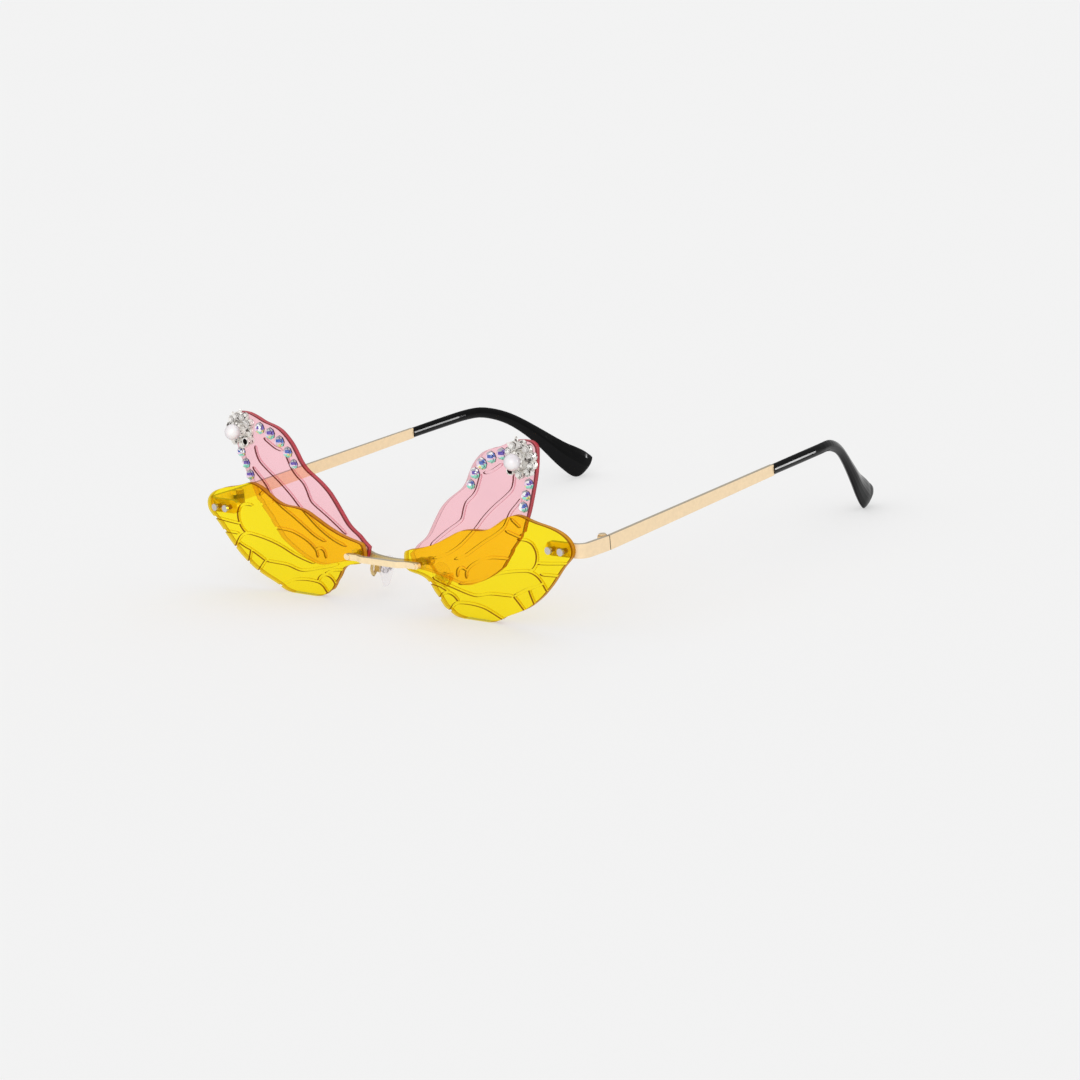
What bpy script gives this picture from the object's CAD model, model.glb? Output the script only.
import bpy
from math import cos, pi, radians, sin
from mathutils import Matrix, Vector


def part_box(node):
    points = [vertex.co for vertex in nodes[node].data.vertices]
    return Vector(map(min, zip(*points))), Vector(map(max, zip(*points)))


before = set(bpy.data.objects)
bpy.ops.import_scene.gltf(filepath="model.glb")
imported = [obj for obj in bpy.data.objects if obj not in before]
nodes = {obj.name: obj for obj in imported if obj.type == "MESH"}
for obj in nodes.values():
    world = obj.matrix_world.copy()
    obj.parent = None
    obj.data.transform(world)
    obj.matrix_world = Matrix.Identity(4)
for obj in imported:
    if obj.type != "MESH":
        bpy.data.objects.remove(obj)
scene = bpy.context.scene
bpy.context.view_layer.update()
MM = 0.001
SIDES = ("left", "right")
CRYSTALS_PER_SIDE = 8
X, Y, Z = range(3)
WHITE = (1, 1, 1, 1)


def rgb(r, g, b):
    """An 8-bit screen colour as the linear colour that shows it."""
    def linear(c):
        c = c / 255
        return c / 12.92 if c <= 0.04045 else ((c + 0.055) / 1.055) ** 2.4
    return (linear(r), linear(g), linear(b), 1.0)


def scaled(c, k):
    """A colour made lighter or darker by one factor."""
    return (c[0] * k, c[1] * k, c[2] * k, 1.0)


def middle_of(box, axis):
    return (box[0][axis] + box[1][axis]) / 2


class Tree:
    """Short calls that add and join shader nodes in one new material."""

    # Places of the colour sockets on a Mix node
    MIX_A = 6
    MIX_B = 7
    MIX_RESULT = 2
    # Blender's noise lies mostly between these values
    NOISE_LOW = 0.3
    NOISE_HIGH = 0.7

    def __init__(self, name):
        self.mat = bpy.data.materials.new(name)
        self.mat.use_nodes = True
        self.nodes = self.mat.node_tree.nodes
        self.links = self.mat.node_tree.links
        self.nodes.clear()

    def add(self, kind, inputs=None, **settings):
        n = self.nodes.new(kind)
        for k, v in settings.items():
            setattr(n, k, v)
        for k, v in (inputs or {}).items():
            self.put(n.inputs[k], v)
        return n

    def put(self, socket, v):
        """Join a socket to another node's output, or set its own value."""
        if isinstance(v, bpy.types.NodeSocket):
            self.links.new(v, socket)
        elif socket.type == "VECTOR":
            socket.default_value = v[:3]
        else:
            socket.default_value = v

    def math(self, op, a, b=0.0):
        return self.add("ShaderNodeMath", {0: a, 1: b}, operation=op).outputs[0]

    def plus(self, a, b):
        return self.math("ADD", a, b)

    def minus(self, a, b):
        return self.math("SUBTRACT", a, b)

    def times(self, a, b):
        return self.math("MULTIPLY", a, b)

    def size_of(self, a):
        return self.math("ABSOLUTE", a)

    def above(self, a, b):
        """1 where a is greater than b, otherwise 0."""
        return self.math("GREATER_THAN", a, b)

    def below(self, a, b):
        """1 where a is less than b, otherwise 0."""
        return self.math("LESS_THAN", a, b)

    def mix(self, share, a, b):
        sockets = {0: share, self.MIX_A: a, self.MIX_B: b}
        return self.add("ShaderNodeMix", sockets, data_type="RGBA").outputs[self.MIX_RESULT]

    def mix_shader(self, share, a, b):
        return self.add("ShaderNodeMixShader", {0: share, 1: a, 2: b}).outputs[0]

    def part(self, vector, i):
        """One of the three numbers of a vector or colour."""
        return self.add("ShaderNodeSeparateXYZ", {0: vector}).outputs[i]

    def place(self):
        return self.add("ShaderNodeTexCoord").outputs["Object"]

    def place_on(self, axis):
        return self.part(self.place(), axis)

    def normal_on(self, axis):
        """How far the face points along one of the part's own axes."""
        n = self.add("ShaderNodeNewGeometry").outputs["True Normal"]
        own = self.add("ShaderNodeVectorTransform", {0: n}, vector_type="NORMAL",
                       convert_from="WORLD", convert_to="OBJECT").outputs[0]
        return self.part(own, axis)

    def noise(self, scale, detail=2.0, lo=0.0, hi=1.0):
        """Soft noise in the part's own space, between lo and hi."""
        n = self.add("ShaderNodeTexNoise", {"Vector": self.place(), "Scale": scale, "Detail": detail})
        spread = {"Value": n.outputs[0], "From Min": self.NOISE_LOW, "From Max": self.NOISE_HIGH,
                  "To Min": lo, "To Max": hi}
        return self.add("ShaderNodeMapRange", spread).outputs[0]

    def cells(self, scale):
        return self.add("ShaderNodeTexVoronoi", {"Vector": self.place(), "Scale": scale}).outputs

    def bump(self, height, strength, distance):
        sockets = {"Height": height, "Strength": strength, "Distance": distance}
        return self.add("ShaderNodeBump", sockets).outputs[0]

    def clear(self, color):
        return self.add("ShaderNodeBsdfTransparent", {0: color}).outputs[0]

    def facing(self, blend):
        """0 where the surface faces the viewer, up to 1 where it turns away, for sheen and clear edges."""
        return self.add("ShaderNodeLayerWeight", {"Blend": blend}).outputs["Facing"]

    def surface(self, color, rough, metallic=0.0, **extra):
        inputs = {"Base Color": color, "Roughness": rough, "Metallic": metallic}
        inputs.update({k.replace("_", " "): v for k, v in extra.items()})
        return self.add("ShaderNodeBsdfPrincipled", inputs).outputs[0]

    def done(self, shader):
        out = self.add("ShaderNodeOutputMaterial")
        self.links.new(shader, out.inputs["Surface"])
        return self.mat


def sheet_material(name, front, back, tint, body, edge, border, within_cover, line_dark, line_soft):
    """Tinted clear sheet: see-through faces with a little body colour, deep edges, and dark vein walls."""
    # A face that points forwards or backwards by less than this is an edge or the wall of a vein, and it
    # is a vein's where it lies within this depth of the front
    edge_below = 0.5
    vein_depth = 0.62 * MM
    # Share of body colour in the clear faces, and of edge colour in the edges
    milk_share = 0.08
    edge_cover = 0.93
    # How sharply an edge changes towards its borders, and what its tint and its cover gain there
    border_power = 3.0
    border_tint = 0.5
    border_line = 0.45
    t = Tree(name)
    tone = t.noise(scale=60.0, detail=2.0, lo=0.985, hi=1.0)
    through = t.add("ShaderNodeVectorMath", {0: tint, "Scale": tone}, operation="SCALE").outputs[0]
    clear = t.clear(through)
    soft = t.mix(t.noise(scale=90.0, detail=3.0), body, scaled(body, 0.94))
    milk = t.surface(soft, rough=0.12, Specular_IOR_Level=0.25)
    face = t.mix_shader(milk_share, clear, milk)
    y = t.place_on(Y)
    is_edge = t.below(t.size_of(t.normal_on(Y)), edge_below)
    # Slab edges, deeper in colour towards both borders
    from_middle = t.size_of(t.minus(y, (front + back) / 2))
    off = t.math("DIVIDE", from_middle, (back - front) / 2)
    near_border = t.math("POWER", off, border_power)
    worn_edge = t.mix(t.noise(scale=300.0, detail=3.0), edge, scaled(edge, 0.8))
    edge_color = t.mix(t.times(near_border, border_tint), worn_edge, border)
    # An edge seen from inside the sheet shows mostly as two fine lines at its borders
    within = t.add("ShaderNodeNewGeometry").outputs["Backfacing"]
    from_inside = t.plus(t.times(near_border, border_line), within_cover)
    cover = t.plus(t.times(t.minus(1.0, within), edge_cover), t.times(within, from_inside))
    slab = t.mix_shader(cover, clear, t.surface(edge_color, rough=0.4, Specular_IOR_Level=0.1))
    # The two walls of each groove read as one dark line and one soft line, by the way that they lean. The
    # normal of a face seen from behind comes out turned round, so it is turned back before it is used
    lean_x = 0.94
    lean_z = 0.34
    dark_from = 0.04
    wall_cover = 0.38
    dark_adds = 0.56
    lean = t.plus(t.times(t.normal_on(X), lean_x), t.times(t.normal_on(Z), lean_z))
    outward = t.minus(1.0, t.times(within, 2.0))
    is_dark = t.above(t.times(lean, outward), dark_from)
    wall_color = t.mix(is_dark, line_soft, line_dark)
    opening = t.clear(t.mix(t.noise(scale=400.0), WHITE, scaled(WHITE, 0.97)))
    wall = t.mix_shader(t.plus(t.times(is_dark, dark_adds), wall_cover), opening,
                        t.surface(wall_color, rough=0.4, Specular_IOR_Level=0.0))
    in_vein = t.below(y, front + vein_depth)
    side = t.mix_shader(in_vein, slab, wall)
    return t.done(t.mix_shader(is_edge, face, side))


def metal_material(name, color, shade, rough, metallic, hinge=None):
    """Plated metal: brushed grain, deeper faces above and below, and darker tones round a hinge."""
    flat_from = 0.7
    rough_spread = 0.05
    grain_stretch = (1.0, 0.05, 1.0)
    grain_scale = 4000.0
    t = Tree(name)
    is_flat = t.above(t.size_of(t.normal_on(Z)), flat_from)
    worn = t.mix(t.noise(scale=900.0, detail=4.0), color, scaled(color, 0.93))
    tone = t.mix(is_flat, worn, shade)
    if hinge is not None:
        tone = hinge_tone(t, tone, **hinge)
    stretched = t.add("ShaderNodeMapping", {"Vector": t.place(), "Scale": grain_stretch}).outputs[0]
    lines = t.add("ShaderNodeTexNoise", {"Vector": stretched, "Scale": grain_scale, "Detail": 2.0})
    grain = t.bump(lines.outputs[0], strength=0.06, distance=0.1 * MM)
    roughness = t.noise(scale=700.0, detail=3.0, lo=rough - rough_spread, hi=rough + rough_spread)
    return t.done(t.surface(tone, roughness, metallic, Normal=grain))


def hinge_tone(t, tone, axis_y, axis_z, cut_x, barrel, heart, sawn):
    """Darker tones for the hinge's barrel, its middle knuckle, and the strips' sawn ends beside it."""
    # Half the depth of the barrel, and half the height of the knuckle
    reach = 1.4 * MM
    half_heart = 0.6 * MM
    end_from = 0.9
    is_near = t.below(t.size_of(t.minus(t.place_on(Y), axis_y)), reach)
    is_outer = t.above(t.size_of(t.place_on(X)), cut_x)
    from_axis = t.size_of(t.minus(t.place_on(Z), axis_z))
    shaded = t.mix(t.above(from_axis, half_heart), heart, barrel)
    tone = t.mix(t.times(is_near, t.minus(1.0, is_outer)), tone, shaded)
    is_end = t.above(t.size_of(t.normal_on(Y)), end_from)
    return t.mix(t.times(is_end, is_outer), tone, sawn)


def tip_material():
    """Black acetate: near black above the side ridge, a shade softer and duller below it."""
    upper = (0.001, 0.001, 0.0012, 1)
    lower = (0.005, 0.005, 0.0054, 1)
    rubbed = (0.004, 0.004, 0.0042, 1)
    rubbed_share = 0.4
    t = Tree("black tip")
    color = t.mix(t.below(t.normal_on(Z), 0.0), upper, lower)
    worn = t.mix(t.times(t.noise(scale=500.0, detail=3.0), rubbed_share), color, rubbed)
    roughness = t.noise(scale=250.0, detail=3.0, lo=0.08, hi=0.12)
    return t.done(t.surface(worn, roughness, Specular_IOR_Level=0.09))


def pad_material():
    """Clear soft pad: faint at the middle, greyer where the surface turns away."""
    middle_share = 0.05
    turned_adds = 0.34
    t = Tree("clear pad")
    tone = t.mix(t.noise(scale=400.0), (0.93, 0.92, 0.94, 1), (0.98, 0.97, 0.985, 1))
    share = t.plus(t.times(t.facing(blend=0.35), turned_adds), middle_share)
    return t.done(t.mix_shader(share, t.clear((0.985, 0.98, 0.99, 1)), t.surface(tone, rough=0.15)))


def core_material():
    """Bright plate inside the pad, with the fine dark curls that polished metal mirrors."""
    curl_middle = 0.5
    curl_half = 0.07
    t = Tree("pad core")
    waves = t.noise(scale=620.0, detail=1.0)
    is_curl = t.below(t.size_of(t.minus(waves, curl_middle)), curl_half)
    tone = t.mix(is_curl, rgb(240, 238, 242), rgb(118, 114, 120))
    return t.done(t.surface(tone, rough=0.3, metallic=0.05))


def stone_material(name, pale, deep, lower, top, rim, glint):
    """Coated faceted glass: a deep patch, a bright foot, a grey top, and silver foil on the flat back."""
    # Shares of the stone's own width and height at which its tones change
    patch_from_x = 0.51
    patch_from_z = 0.5
    foot_below = 0.38
    top_from = 0.94
    lean = 0.3
    shift_spread = 0.2
    # A cell of the pattern takes a second tone where its own random value is above these
    darker_pale = 0.7
    second_foot = 0.75
    glint_from = 0.9
    # The girdle and the flat back begin where a face points backwards by more than these
    rim_from = -0.15
    foil_from = 0.9
    # About half of the stones take the second deep tone, whatever their shift is
    second_deep = 0.5
    reshuffle = 7.0
    clear_share = 0.08
    t = Tree(name)
    seed = t.add("ShaderNodeObjectInfo").outputs["Random"]
    own = t.add("ShaderNodeTexCoord").outputs["Generated"]
    across = t.plus(t.part(own, X), t.times(t.normal_on(X), lean))
    height = t.plus(t.part(own, Z), t.times(t.normal_on(Z), lean))
    cell = t.part(t.cells(scale=1300.0)["Color"], X)
    shift = t.times(t.minus(seed, 0.5), shift_spread)
    is_patch = t.times(t.above(across, t.plus(shift, patch_from_x)), t.above(height, patch_from_z))
    is_foot = t.below(height, t.plus(shift, foot_below))
    is_other = t.above(t.math("FRACT", t.times(seed, reshuffle)), second_deep)
    color = t.mix(t.above(cell, darker_pale), pale, scaled(pale, 0.8))
    color = t.mix(is_foot, color, t.mix(t.above(cell, second_foot), lower[0], lower[1]))
    color = t.mix(is_patch, color, t.mix(is_other, deep[0], deep[1]))
    color = t.mix(t.above(height, top_from), color, top)
    color = t.mix(t.above(cell, glint_from), color, glint)
    color = t.mix(t.above(t.normal_on(Y), rim_from), color, rim)
    color = t.mix(t.above(t.normal_on(Y), foil_from), color, rgb(184, 180, 186))
    solid = t.surface(color, rough=0.07, metallic=0.1, Coat_Weight=0.5, Coat_Roughness=0.03)
    return t.done(t.mix_shader(clear_share, solid, t.clear((0.95, 0.93, 0.98, 1))))


def setting_material(cup_x, cup_z, cup_r):
    """Cast silver with an ivory tone, small dark recesses, and shadow inside the one empty cup."""
    grey_from = 0.66
    recess_from = 0.86
    t = Tree("cast silver")
    specks = t.cells(scale=1700.0)
    cell = t.part(specks["Color"], X)
    bright = t.mix(t.noise(scale=600.0, detail=4.0), rgb(250, 248, 244), rgb(234, 230, 222))
    color = t.mix(t.above(cell, grey_from), bright, rgb(206, 200, 194))
    color = t.mix(t.above(cell, recess_from), color, rgb(92, 84, 80))
    off_x = t.minus(t.size_of(t.place_on(X)), cup_x)
    off_z = t.minus(t.place_on(Z), cup_z)
    away = t.math("SQRT", t.plus(t.times(off_x, off_x), t.times(off_z, off_z)))
    color = t.mix(t.below(away, cup_r), color, rgb(44, 40, 36))
    relief = t.bump(specks["Distance"], strength=0.6, distance=0.2 * MM)
    return t.done(t.surface(color, rough=0.16, metallic=0.12, Normal=relief, Coat_Weight=0.4,
                            Coat_Roughness=0.05))


def pearl_material():
    """White pearl: a soft grey sheen where it turns away, and slightly uneven lustre."""
    uneven = 0.6
    t = Tree("pearl")
    sheen = t.mix(t.facing(blend=0.4), rgb(253, 251, 250), rgb(184, 172, 180))
    color = t.mix(t.times(t.noise(scale=250.0), uneven), sheen, rgb(218, 210, 217))
    return t.done(t.surface(color, rough=0.16, Coat_Weight=0.8, Coat_Roughness=0.05, Subsurface_Weight=0.1,
                            Subsurface_Radius=(2 * MM, 1.5 * MM, 1.5 * MM)))


def washer_material():
    """Clear soft washer with a faint warm body."""
    body_share = 0.15
    t = Tree("clear washer")
    tone = t.mix(t.noise(scale=900.0), rgb(214, 206, 196), rgb(232, 226, 216))
    return t.done(t.mix_shader(body_share, t.clear((0.95, 0.94, 0.92, 1)), t.surface(tone, rough=0.3)))


def dress(node, mat):
    mesh = nodes[node].data
    mesh.materials.clear()
    mesh.materials.append(mat)


# Sheets
low_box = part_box("left_lower_lens")
high_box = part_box("left_upper_lens")
yellow = sheet_material(
    "yellow sheet", front=low_box[0][Y], back=low_box[1][Y],
    tint=(1.03, 0.938, 0.158, 1), body=rgb(255, 228, 30), edge=rgb(212, 138, 8), border=rgb(140, 88, 6),
    within_cover=0.45, line_dark=rgb(146, 84, 6), line_soft=rgb(216, 150, 8))
pink = sheet_material(
    "pink sheet", front=high_box[0][Y], back=high_box[1][Y],
    tint=(1.02, 0.815, 0.85, 1), body=rgb(252, 204, 214), edge=rgb(190, 54, 66), border=rgb(104, 24, 34),
    within_cover=0.2, line_dark=rgb(112, 16, 22), line_soft=rgb(208, 122, 134))

# Metals
gold = metal_material("pale gold", rgb(254, 230, 186), rgb(160, 150, 128), rough=0.38, metallic=0.2)
# The sawn ends are the outer layer of the strips, outside the hinge's barrel
SAWN_LAYER = 1.2 * MM
screw_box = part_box("left_hinge_screw")
hinge = {
    "axis_y": middle_of(screw_box, Y), "axis_z": middle_of(screw_box, Z),
    "cut_x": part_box("left_end_piece")[1][X] - SAWN_LAYER,
    "barrel": rgb(176, 132, 70), "heart": rgb(104, 66, 30), "sawn": rgb(58, 44, 30)}
strip_gold = metal_material("strip gold", rgb(248, 221, 180), rgb(156, 144, 120), rough=0.38, metallic=0.2,
                            hinge=hinge)
arm_gold = metal_material("arm gold", rgb(220, 194, 134), rgb(156, 132, 82), rough=0.28, metallic=0.4)
old_gold = metal_material("shaded gold", rgb(208, 190, 142), rgb(146, 132, 96), rough=0.32, metallic=0.5)
rivet = metal_material("rivet silver", rgb(206, 200, 196), rgb(150, 140, 130), rough=0.25, metallic=0.7)

# Stones
crystal = stone_material(
    "rainbow crystal", pale=rgb(240, 212, 234), deep=(rgb(84, 56, 168), rgb(36, 88, 178)),
    lower=(rgb(138, 232, 208), rgb(238, 226, 128)), top=rgb(182, 180, 186), rim=rgb(62, 52, 70),
    glint=rgb(253, 253, 255))
clear_stone = stone_material(
    "clear stone", pale=rgb(248, 246, 242), deep=(rgb(214, 210, 206), rgb(232, 230, 228)),
    lower=(rgb(238, 236, 230), rgb(176, 172, 166)), top=rgb(222, 218, 214), rim=rgb(88, 80, 76),
    glint=rgb(78, 72, 68))

# The setting's one empty cup lies on the ring of stones, at this angle round the pearl. The radius is
# that of the dark patch, which takes in the cup's wall
RING_RADIUS = 4 * MM
EMPTY_ANGLE = radians(226)
EMPTY_RADIUS = 0.88 * MM
pearl_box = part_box("left_pearl")
cast_silver = setting_material(
    cup_x=middle_of(pearl_box, X) + RING_RADIUS * cos(EMPTY_ANGLE),
    cup_z=middle_of(pearl_box, Z) + RING_RADIUS * sin(EMPTY_ANGLE),
    cup_r=EMPTY_RADIUS)

looks = {
    "lower_lens": yellow,
    "upper_lens": pink,
    "lens_washer": washer_material(),
    "bridge_screw": gold,
    "bridge_nut": old_gold,
    "pad_arm": arm_gold,
    "pad_pin": arm_gold,
    "nose_pad": pad_material(),
    "pad_core": core_material(),
    "end_piece": strip_gold,
    "lens_rivets": rivet,
    "hinge_screw": gold,
    "temple": strip_gold,
    "temple_tip": tip_material(),
    "pearl_setting": cast_silver,
    "pearl": pearl_material(),
    "ring_stones": clear_stone}
dress("front_bridge_bar", gold)
dress("rear_bridge_bar", old_gold)
for side in SIDES:
    for piece, mat in looks.items():
        dress(f"{side}_{piece}", mat)
    for i in range(CRYSTALS_PER_SIDE):
        dress(f"{side}_crystal_{i + 1}", crystal)

# Floor: part of the white that the view, the metal and the glass see is the paper's own, so that the
# object's shadow on it stays faint
FLOOR_SIZE = 12.0
PAPER = rgb(243, 243, 243)
OWN_SHARE = 0.45
bpy.ops.mesh.primitive_plane_add(size=FLOOR_SIZE, location=(0, 0, 0))
floor = bpy.context.object
floor.name = "floor"
ft = Tree("floor paper")
paper = ft.mix(ft.noise(scale=3.0), PAPER, scaled(PAPER, 0.995))
plain = ft.add("ShaderNodeBsdfDiffuse", {0: paper}).outputs[0]
own_white = ft.add("ShaderNodeEmission", {0: PAPER}).outputs[0]
path = ft.add("ShaderNodeLightPath").outputs
by_gloss_or_glass = ft.math("MAXIMUM", path["Is Glossy Ray"], path["Is Transmission Ray"])
seen = ft.math("MAXIMUM", path["Is Camera Ray"], by_gloss_or_glass)
floor.data.materials.append(ft.done(ft.mix_shader(ft.times(seen, OWN_SHARE), plain, own_white)))

# Light: an even white surround. The view past the floor's edge shows the paper's white, and the light
# that the surround gives stays as it is
SKY_LIGHT = 0.77
world = bpy.data.worlds.new("surround")
scene.world = world
world.use_nodes = True
back = world.node_tree.nodes["Background"]
back.inputs["Color"].default_value = WHITE
ray = world.node_tree.nodes.new("ShaderNodeLightPath")
shown = world.node_tree.nodes.new("ShaderNodeMath")
shown.operation = "MULTIPLY_ADD"
shown.inputs[1].default_value = PAPER[0] - SKY_LIGHT
shown.inputs[2].default_value = SKY_LIGHT
world.node_tree.links.new(ray.outputs["Is Camera Ray"], shown.inputs[0])
world.node_tree.links.new(shown.outputs[0], back.inputs["Strength"])


def sun(name, toward, angle, power, gloss_only=False):
    """A sun that shines from the given direction and seems as wide as the angle, in radians."""
    data = bpy.data.lights.new(name, "SUN")
    data.angle = angle
    data.energy = power
    obj = bpy.data.objects.new(name, data)
    scene.collection.objects.link(obj)
    obj.location = Vector(toward)
    obj.rotation_euler = Vector(toward).to_track_quat("Z", "Y").to_euler()
    obj.visible_diffuse = not gloss_only


# Two broad soft suns give the metal and the stones their shape. Two narrow faint ones show only in
# gloss, as the thin bright line along the side of each tip
sun("key", toward=(0.45, -0.8, 0.4), angle=0.9, power=0.85)
sun("top", toward=(-0.3, 0.35, 0.9), angle=1.2, power=0.42)
sun("near glint", toward=(0.619, 0.781, 0.087), angle=0.085, power=0.26, gloss_only=True)
sun("far glint", toward=(0.755, 0.632, 0.176), angle=0.1, power=0.37, gloss_only=True)

# Camera at the photo's view: its angles to the wearer's left, upwards and in roll, and its place beside,
# in front of and above the middle of the lower lenses' front
AZIMUTH = radians(42.91)
ELEVATION = radians(13.57)
ROLL = radians(-5.0)
CAMERA_FROM_LENS = Vector((620.38, -604.86, 223.8)) * MM
cam_data = bpy.data.cameras.new("camera")
cam_data.lens = 110.0
cam_data.sensor_width = 36.0
cam_data.clip_end = 30.0
cam = bpy.data.objects.new("camera", cam_data)
scene.collection.objects.link(cam)
turn = (Matrix.Rotation(AZIMUTH, 4, "Z") @ Matrix.Rotation(pi / 2 - ELEVATION, 4, "X")
        @ Matrix.Rotation(ROLL, 4, "Z"))
lens_front = Vector((0, low_box[0][Y], 0))
cam.matrix_world = Matrix.Translation(lens_front + CAMERA_FROM_LENS) @ turn
scene.camera = cam
scene.view_settings.view_transform = "Standard"
